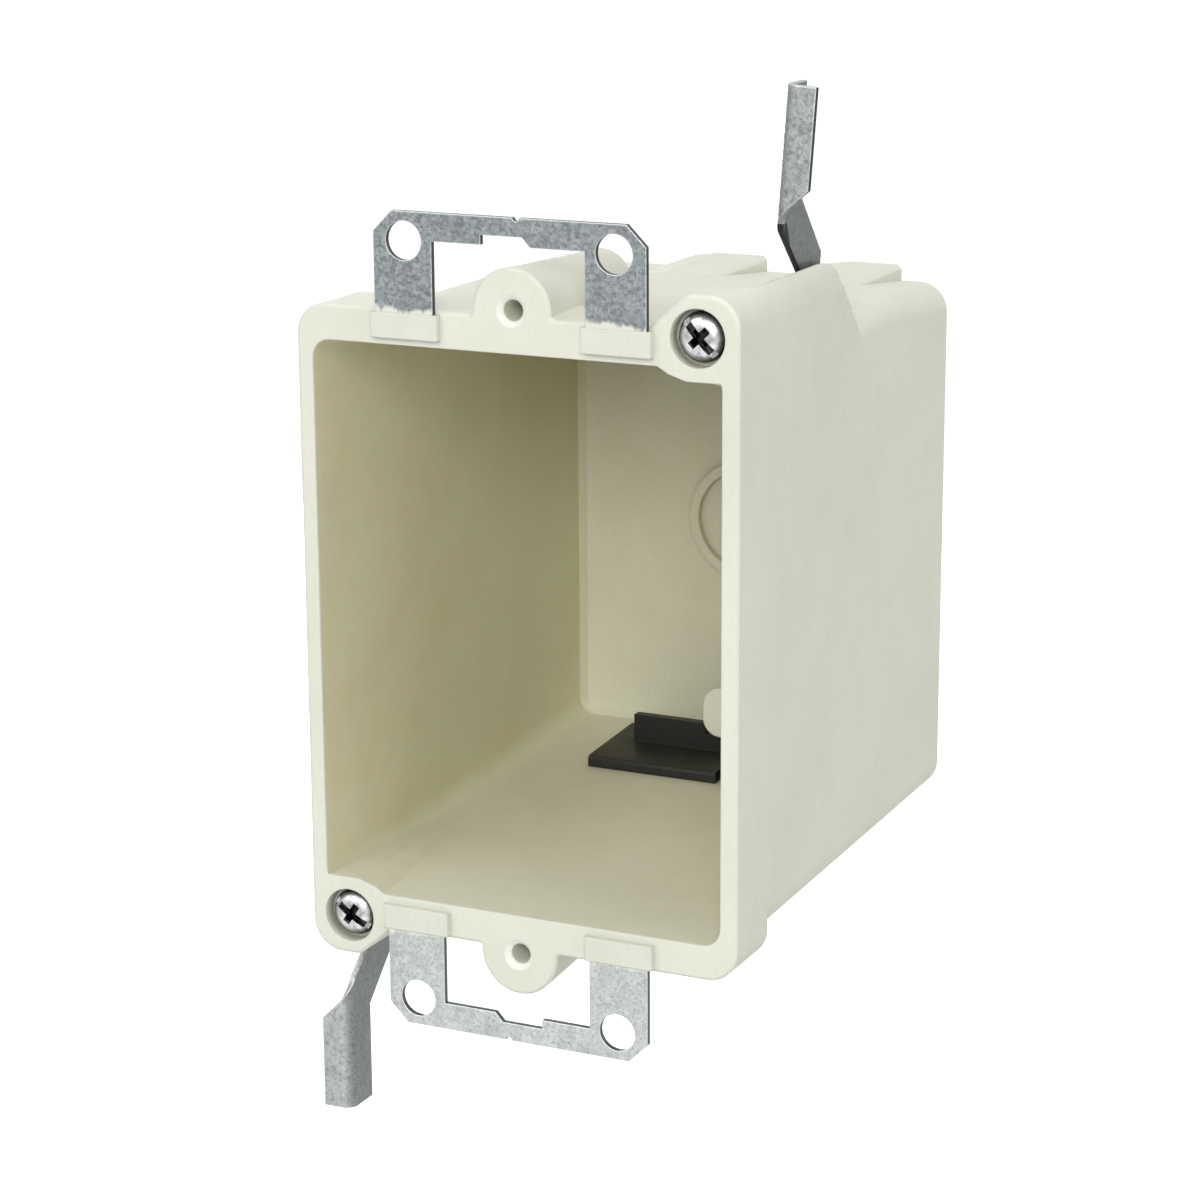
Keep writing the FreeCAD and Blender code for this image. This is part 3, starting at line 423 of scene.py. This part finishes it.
def galvanized_steel(name, dark, light, shaded, shade, flash=False, sheared=False):
    """Hot-dip zinc: fine blue-grey spangles and dull patches, a painted highlight on the edges and painted
    shade in crevices; faces taken as shaded are painted dimmer.
    """
    material, tree, shader, place = new_material(name)
    spangle = node(tree, "TexVoronoi", {"Vector": place, "Scale": 2300})
    grey = node(tree, "SeparateColor", {"Color": spangle.outputs["Color"]}).outputs["Red"]
    specks = noise(tree, place, 2600, 3, 0.65)
    patches = noise(tree, stretched(tree, place, (800, 800, 450)), 1, 4)
    tone = ramp(tree, grey, [(0.0, dark), (1.0, light)])
    tone = blended(tree, "MULTIPLY", 0.5, tone, ramp(tree, patches, [
        (0.32, (0.70, 0.72, 0.74)), (0.60, (1.0, 1.0, 1.0))]))
    tone = blended(tree, "MULTIPLY", 0.55, tone, ramp(tree, specks, [
        (0.36, (0.35, 0.37, 0.38)), (0.45, (1.0, 1.0, 1.0))]))
    soft_normal = soft_edges(tree, 0.0003)
    # Painted highlight along the sheet's edges
    tone = blended(tree, "MIX", both(tree, edge_mask(tree, soft_normal), 0.9), tone, EDGE_HIGHLIGHT_ZINC)
    axis, lit, dim = shaded
    tone = blended(tree, "MULTIPLY", levels(tree, facing(tree, axis), 0.0, 1.0, lit, dim), tone, shade)
    # Painted shade on the sheared edges, given to the top bracket only
    if sheared:
        tone = blended(tree, "MULTIPLY", sheared_mask(tree, place), tone, PAINTED_SHEAR_SHADE)
    # Painted shade in the sheet's crevices
    tone = painted_crevice_shade(tree, tone, 0.0012, 0.45)
    shader.inputs["Metallic"].default_value = SHEET_METALLIC
    if flash:
        skin = flash_mask(tree, place)
        tone = blended(tree, "MIX", skin, tone, FLASH_CREAM)
        tree.links.new(levels(tree, skin, SHEET_METALLIC, 0.0, 0, 1), shader.inputs["Metallic"])
    tree.links.new(tone, shader.inputs["Base Color"])
    tree.links.new(levels(tree, grey, 0.34, 0.52, 0, 1), shader.inputs["Roughness"])
    tree.links.new(bump(tree, specks, 0.15, 0.00005, soft_normal), shader.inputs["Normal"])
    return material


def zinc_plate():
    """Bright zinc plate with small dull stains, and painted shade in its crevices and inside its slot and
    cross.
    """
    material, tree, shader, place = new_material("zinc_plate")
    stains = noise(tree, place, 1100, 4)
    tone = ramp(tree, stains, [
        (0.32, (0.36, 0.37, 0.38)), (0.50, (0.70, 0.71, 0.72)), (0.70, (0.88, 0.89, 0.90))])
    # Painted shade inside the slot and cross
    tone = blended(tree, "MULTIPLY", recess_mask(tree, place), tone, RECESS_SHADE)
    # Painted shade in the screw's crevices
    tone = painted_crevice_shade(tree, tone, 0.0018, 0.03)
    tree.links.new(tone, shader.inputs["Base Color"])
    tree.links.new(levels(tree, stains, 0.34, 0.20), shader.inputs["Roughness"])
    tree.links.new(bump(tree, stains, 0.12, 0.00005, soft_edges(tree, 0.0001)), shader.inputs["Normal"])
    shader.inputs["Metallic"].default_value = 0.95
    return material


def black_plastic():
    """Black moulded nylon with a faint grain and paler rubbed patches; faces that stand upright are painted
    a deeper black as shade, so the tops read lighter.
    """
    material, tree, shader, place = new_material("black_plastic")
    grain = noise(tree, place, 1800, 3)
    rubbed = noise(tree, place, 160, 4)
    tone = ramp(tree, rubbed, [(0.35, (0.016, 0.016, 0.015)), (0.70, (0.028, 0.028, 0.026))])
    # Painted shade: faces that stand upright are mixed towards a deeper black
    upright = levels(tree, facing(tree, "Z"), 0.75, 0.0, 0.3, 0.9)
    tone = blended(tree, "MIX", upright, tone, SHADED_UPRIGHT_BLACK)
    tree.links.new(tone, shader.inputs["Base Color"])
    tree.links.new(levels(tree, rubbed, 0.42, 0.60), shader.inputs["Roughness"])
    tree.links.new(bump(tree, grain, 0.25, 0.00006, soft_edges(tree, 0.0002)), shader.inputs["Normal"])
    return material


CREAM = cream_moulding()
# The top and bottom pieces are one galvanized steel; their copies differ by painted light: the top ear and
# bracket are painted darker, as shaded, the bottom ones lighter, as lit, and only the top bracket has
# painted shade on its sheared edges
SHADED_TOP_EAR_STEEL = galvanized_steel("shaded_top_ear_steel", (0.26, 0.285, 0.295), (0.40, 0.43, 0.44),
                                 EDGE_ON, THIN_EDGE_SHADE, flash=True)
LIT_BOTTOM_EAR_STEEL = galvanized_steel("lit_bottom_ear_steel", (0.56, 0.59, 0.575), (0.70, 0.735, 0.715),
                                    EDGE_ON, THIN_EDGE_SHADE, flash=True)
SHADED_TOP_BRACKET_STEEL = galvanized_steel("shaded_top_bracket_steel", (0.36, 0.385, 0.385), (0.50, 0.525, 0.525),
                                     ACROSS, SHADED_WEB, sheared=True)
LIT_BOTTOM_BRACKET_STEEL = galvanized_steel("lit_bottom_bracket_steel", (0.42, 0.445, 0.445), (0.57, 0.595, 0.595),
                                        ACROSS, SHADED_WEB)
ZINC = zinc_plate()
BLACK = black_plastic()

FINISH_OF_NODE = {
    "box_body": CREAM,
    "top_ear": SHADED_TOP_EAR_STEEL,
    "bottom_ear": LIT_BOTTOM_EAR_STEEL,
    "top_swing_bracket": SHADED_TOP_BRACKET_STEEL,
    "bottom_swing_bracket": LIT_BOTTOM_BRACKET_STEEL,
    "top_clamp_screw": ZINC,
    "bottom_clamp_screw": ZINC,
    "top_cable_clamp": BLACK,
    "bottom_cable_clamp": BLACK,
}


def paint_nodes():
    for name, material in FINISH_OF_NODE.items():
        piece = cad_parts[name]
        piece.data.materials.clear()
        piece.data.materials.append(material)


# Mesh helpers

def new_piece(name, points, faces):
    """An object made of points in millimetres."""
    mesh = bpy.data.meshes.new(name)
    mesh.from_pydata([Vector(point) * MM for point in points], [], faces)
    piece = bpy.data.objects.new(name, mesh)
    bpy.context.collection.objects.link(piece)
    return piece


@contextlib.contextmanager
def editing(piece):
    """The piece's mesh, open for editing and written back at the end."""
    shell = bmesh.new()
    shell.from_mesh(piece.data)
    yield shell
    shell.to_mesh(piece.data)
    shell.free()


def apply_modifiers(piece):
    bpy.context.view_layer.update()
    made = piece.evaluated_get(bpy.context.evaluated_depsgraph_get())
    mesh = bpy.data.meshes.new_from_object(made)
    piece.modifiers.clear()
    piece.data = mesh


def smooth(piece, sharp_angle):
    piece.data.shade_smooth()
    piece.data.set_sharp_from_angle(angle=math.radians(sharp_angle))


def turned_at(place, angle):
    """The matrix of a piece at a place in millimetres, turned by degrees about the Y axis."""
    return Matrix.Translation(Vector(place) * MM) @ Matrix.Rotation(math.radians(angle), 4, "Y")


# Clamp screws

def turned_head(name):
    """The domed head as a body of revolution about the Y axis."""
    points = []
    faces = []
    inner = HEAD_PROFILE[1:-1]
    for radius, depth in inner:
        for step in range(HEAD_SEGMENTS):
            angle = math.tau * step / HEAD_SEGMENTS
            points.append((radius * math.cos(angle), depth, radius * math.sin(angle)))
    for row in range(len(inner) - 1):
        for step in range(HEAD_SEGMENTS):
            after = (step + 1) % HEAD_SEGMENTS
            low, high = row * HEAD_SEGMENTS, (row + 1) * HEAD_SEGMENTS
            faces.append((low + step, low + after, high + after, high + step))
    for row, (_, depth) in ((0, HEAD_PROFILE[0]), (len(inner) - 1, HEAD_PROFILE[-1])):
        middle = len(points)
        points.append((0, depth, 0))
        for step in range(HEAD_SEGMENTS):
            after = (step + 1) % HEAD_SEGMENTS
            edge = (row * HEAD_SEGMENTS + after, row * HEAD_SEGMENTS + step)
            faces.append((middle, *(edge if row == 0 else edge[::-1])))
    return new_piece(name, points, faces)


def tapered_cutter(name, top, bottom, depth):
    """A straight-sided plug: (half length, half width) at its top and at its bottom."""
    points = []
    for y, (along, across) in ((CUTTER_START, top), (depth, bottom)):
        points += [(-along, y, -across), (along, y, -across), (along, y, across), (-along, y, across)]
    faces = [(0, 1, 2, 3), (7, 6, 5, 4), (0, 4, 5, 1), (1, 5, 6, 2), (2, 6, 7, 3), (3, 7, 4, 0)]
    return new_piece(name, points, faces)


def cut_away(piece, cutter):
    """Takes the cutter's space out of a piece, and removes the cutter."""
    for one in (piece, cutter):
        with editing(one) as shell:
            bmesh.ops.recalc_face_normals(shell, faces=shell.faces)
    cut = piece.modifiers.new("cut", "BOOLEAN")
    cut.operation = "DIFFERENCE"
    cut.solver = "EXACT"
    cut.object = cutter
    apply_modifiers(piece)
    bpy.data.objects.remove(cutter)


def add_thread(shell):
    """The threaded shank: rows of points that follow the helix."""
    rows = len(THREAD_PROFILE)
    turns = math.ceil((SHANK_END - SHANK_START) / THREAD_PITCH) + 1
    grid = []
    for row in range((turns + 1) * rows):
        line = []
        for step in range(THREAD_SEGMENTS):
            y = SHANK_START + THREAD_PITCH * (row / rows + step / THREAD_SEGMENTS - 1)
            y = min(max(y, SHANK_START), SHANK_END)
            taper = min(1.0, TIP_SHARE + (1 - TIP_SHARE) * (SHANK_END - y) / TIP_TAPER)
            height = THREAD_PROFILE[row % rows] if SHANK_START < y < SHANK_END else 0.0
            radius = (THREAD_ROOT + (THREAD_CREST - THREAD_ROOT) * height) * taper
            angle = -math.tau * step / THREAD_SEGMENTS
            point = Vector((radius * math.cos(angle), y, radius * math.sin(angle)))
            line.append(shell.verts.new(point * MM))
        grid.append(line)
    for row in range(len(grid) - 1 - rows):
        for step in range(THREAD_SEGMENTS):
            last = step == THREAD_SEGMENTS - 1
            after, lift = (0, rows) if last else (step + 1, 0)
            shell.faces.new((
                grid[row][step], grid[row + 1][step], grid[row + 1 + lift][after], grid[row + lift][after]))


def make_screw(node_name, body, place, angle):
    piece = turned_head(f"{node_name}_detailed")
    cut_away(piece, tapered_cutter("slot", SLOT_SIZE, SLOT_SIZE, SLOT_DEPTH))
    cut_away(piece, tapered_cutter("arm", CROSS_TOP, CROSS_BOTTOM, CROSS_DEPTH))
    cut_away(piece, tapered_cutter("cross_arm", CROSS_TOP[::-1], CROSS_BOTTOM[::-1], CROSS_DEPTH))
    with editing(piece) as shell:
        add_thread(shell)
        bmesh.ops.remove_doubles(shell, verts=shell.verts, dist=WELD_DISTANCE)
        bmesh.ops.dissolve_degenerate(shell, edges=shell.edges, dist=WELD_DISTANCE)
        open_edges = [edge for edge in shell.edges if edge.is_boundary]
        bmesh.ops.holes_fill(shell, edges=open_edges, sides=0)
    smooth(piece, SCREW_SHARP_ANGLE)
    piece.data.materials.append(ZINC)
    piece.matrix_world = turned_at(place, angle)
    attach(piece, body)
    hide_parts(node_name)


# Swing brackets

def flag_columns():
    """The middle of the sheet across a flag, from the flange's edge to the web: (x, y, lowest z)."""
    across, back = BRACKET_OFFSET + BRACKET_FOLD, BRACKET_FOLD - BRACKET_JOG
    radius = BRACKET_FOLD - BRACKET_SHEET / 2
    flange_foot = FRONT_KINK + BRACKET_FOLD
    web_foot = FRONT_FOOT - back * (FRONT_KINK - FRONT_FOOT) / BRACKET_JOG
    columns = [(BRACKET_OFFSET + BRACKET_FLANGE, back - radius, FRONT_KINK + BRACKET_FLANGE)]
    for step in range(FOLD_STEPS + 1):
        share = step / FOLD_STEPS
        angle = math.pi / 2 * share
        columns.append((across - radius * math.sin(angle), back - radius * math.cos(angle),
                        flange_foot + (web_foot - flange_foot) * share))
    return columns


def folded_sheet(name):
    """The flag with its rounded fold, and the slanted arm down to the screw, as one sheet."""
    columns = flag_columns()
    count = len(columns)
    points = columns + [(x, y, BRACKET_LENGTH) for x, y, _ in columns]
    faces = [(i, i + 1, count + i + 1, count + i) for i in range(count - 1)]
    x = BRACKET_OFFSET + BRACKET_SHEET / 2
    back = BRACKET_WEB - BRACKET_JOG
    points += [
        (x, back, BACK_KINK), (x, back, BRACKET_LENGTH), (x, 0, FRONT_FOOT), (x, BRACKET_WEB, BACK_FOOT),
        (x, 0, -BRACKET_SHEET), (x, BRACKET_WEB, -BRACKET_SHEET)]
    fold_foot, fold_end = count - 1, 2 * count - 1
    kink, end, front_foot, back_foot, front_heel, back_heel = range(2 * count, 2 * count + 6)
    faces += [
        (fold_foot, kink, end, fold_end), (front_foot, back_foot, kink, fold_foot),
        (front_heel, back_heel, back_foot, front_foot)]
    sheet = new_piece(name, points, faces)
    thick = sheet.modifiers.new("thickness", "SOLIDIFY")
    thick.thickness = BRACKET_SHEET * MM
    thick.offset = 0
    thick.use_even_offset = True
    edges = sheet.modifiers.new("edges", "BEVEL")
    edges.width = SHEET_EDGE * MM
    edges.segments = 2
    edges.limit_method = "ANGLE"
    edges.angle_limit = math.radians(BEVELLED_ANGLE)
    apply_modifiers(sheet)
    return sheet


def threaded_eye(name):
    """The eye with its drawn collar, a ring about the Y axis."""
    rows = len(EYE_PROFILE)
    points = []
    faces = []
    for step in range(EYE_SEGMENTS):
        angle = math.tau * step / EYE_SEGMENTS
        points += [(radius * math.cos(angle), y, radius * math.sin(angle)) for radius, y in EYE_PROFILE]
        now, after = step * rows, (step + 1) % EYE_SEGMENTS * rows
        for row in range(rows):
            below = (row + 1) % rows
            faces.append((now + row, now + below, after + below, after + row))
    return new_piece(name, points, faces)


def make_bracket(node_name, body, place, angle):
    piece = folded_sheet(f"{node_name}_detailed")
    eye = threaded_eye("eye")
    with editing(piece) as shell:
        shell.from_mesh(eye.data)
        bmesh.ops.recalc_face_normals(shell, faces=shell.faces)
    bpy.data.objects.remove(eye)
    smooth(piece, BRACKET_SHARP_ANGLE)
    piece.data.materials.append(FINISH_OF_NODE[node_name])
    piece.matrix_world = turned_at(place, angle)
    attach(piece, body)
    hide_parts(node_name)


# Stop walls

def side_at(depth):
    """Half the box's outside width at a depth behind the rim."""
    return SIDE_FRONT - SIDE_DRAFT * max(depth - SIDE_START, 0)


def crest_section(depth, top, inner, foot, end):
    """Points round the crest from its foot on the side wall to its inner end."""
    reach = side_at(depth) + CREST_PROUD - inner
    arc = []
    for step in range(CREST_STEPS + 1):
        angle = math.pi / 2 * step / CREST_STEPS
        height = top + CREST_PROUD - foot * (1 - math.sin(angle))
        arc.append((inner + reach * math.cos(angle), depth, height))
    return arc + [(end[0], depth, end[1])]


def make_crest(name, angle):
    """The rounded top of a stop wall, which grows out of the hump's shoulder."""
    shoulder = SIDE_FRONT - HUMP_RADIUS
    channel, level = CREST_TOP[0]
    on_hump = (shoulder - HUMP_OVERLAP, level)
    sections = [
        crest_section(HUMP_START, level, shoulder, HUMP_RADIUS, on_hump),
        crest_section(channel, level, CREST_INNER, CREST_FOOT, on_hump)]
    for depth, top in CREST_TOP:
        in_wall = (CREST_INNER + CREST_TUCK, top - CREST_INSIDE)
        sections.append(crest_section(depth, top, CREST_INNER, CREST_FOOT, in_wall))
    count = len(sections[0])
    points = [point for section in sections for point in section]
    faces = []
    for row in range(len(sections) - 1):
        low, high = row * count, (row + 1) * count
        faces += [(low + i, low + i + 1, high + i + 1, high + i) for i in range(count - 1)]
    piece = new_piece(name, points, faces)
    with editing(piece) as shell:
        bmesh.ops.remove_doubles(shell, verts=shell.verts, dist=WELD_DISTANCE)
    smooth(piece, CREST_SHARP_ANGLE)
    piece.data.materials.append(CREAM)
    piece.matrix_world = turned_at((0, 0, 0), angle)
    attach(piece, "box")


# Stage, light and camera

def seen_ray(tree):
    """1 for camera, glossy and transmission rays, which show the white surroundings."""
    path = node(tree, "LightPath")
    total = path.outputs["Is Camera Ray"]
    for name in ("Is Glossy Ray", "Is Transmission Ray"):
        total = math_node(tree, "MAXIMUM", total, path.outputs[name])
    return total


def build_stage():
    bpy.ops.mesh.primitive_plane_add(size=2 * FLOOR_HALF_WIDTH, location=(0, 0, FLOOR_HEIGHT))
    floor = bpy.context.object
    floor.name = "floor"
    material = bpy.data.materials.new("pale_floor")
    material.use_nodes = True
    tree = material.node_tree
    tree.nodes.clear()
    paint = node(tree, "BsdfDiffuse", {"Color": FLOOR_COLOUR}).outputs[0]
    path = node(tree, "LightPath").outputs
    sheen = math_node(tree, "MULTIPLY", path["Is Glossy Ray"], FLOOR_SHEEN)
    strength = math_node(tree, "MULTIPLY_ADD", path["Is Camera Ray"], FLOOR_GLOW, sheen)
    glow = node(tree, "Emission", {"Strength": strength}).outputs[0]
    surface = node(tree, "AddShader", {0: paint, 1: glow}).outputs[0]
    node(tree, "OutputMaterial", {"Surface": surface})
    floor.data.materials.append(material)


def light_world():
    world = bpy.data.worlds.new("studio")
    bpy.context.scene.world = world
    world.use_nodes = True
    tree = world.node_tree
    strength = levels(tree, seen_ray(tree), WORLD_LIGHT, 1.0, 0, 1)
    tree.links.new(strength, tree.nodes["Background"].inputs["Strength"])
    tree.nodes["Background"].inputs["Color"].default_value = (1, 1, 1, 1)


def area_light(name, place, size, power):
    lamp = bpy.data.lights.new(name, "AREA")
    lamp.shape = "DISK"
    lamp.size = size
    lamp.energy = power
    holder = bpy.data.objects.new(name, lamp)
    bpy.context.collection.objects.link(holder)
    holder.location = place
    holder.rotation_euler = (Vector(LAMP_TARGET) - Vector(place)).to_track_quat("-Z", "Y").to_euler()


def place_camera():
    camera = bpy.data.cameras.new("camera")
    camera.lens = CAMERA_LENS
    camera.sensor_width = CAMERA_SENSOR
    camera.clip_start = CAMERA_NEAREST
    holder = bpy.data.objects.new("camera", camera)
    bpy.context.collection.objects.link(holder)
    back = CAMERA_RIGHT.cross(CAMERA_UP)
    turned = Matrix((CAMERA_RIGHT, CAMERA_UP, back)).transposed()
    holder.matrix_world = Matrix.Translation(CAMERA_POSITION) @ turned.to_4x4()
    bpy.context.scene.camera = holder


paint_nodes()
for screw in SCREWS:
    make_screw(*screw)
for bracket in BRACKETS:
    make_bracket(*bracket)
make_crest("top_stop_crest", 0)
make_crest("bottom_stop_crest", 180)
build_stage()
light_world()
for lamp in LAMPS:
    area_light(*lamp)
place_camera()
bpy.context.scene.view_settings.view_transform = "Standard"
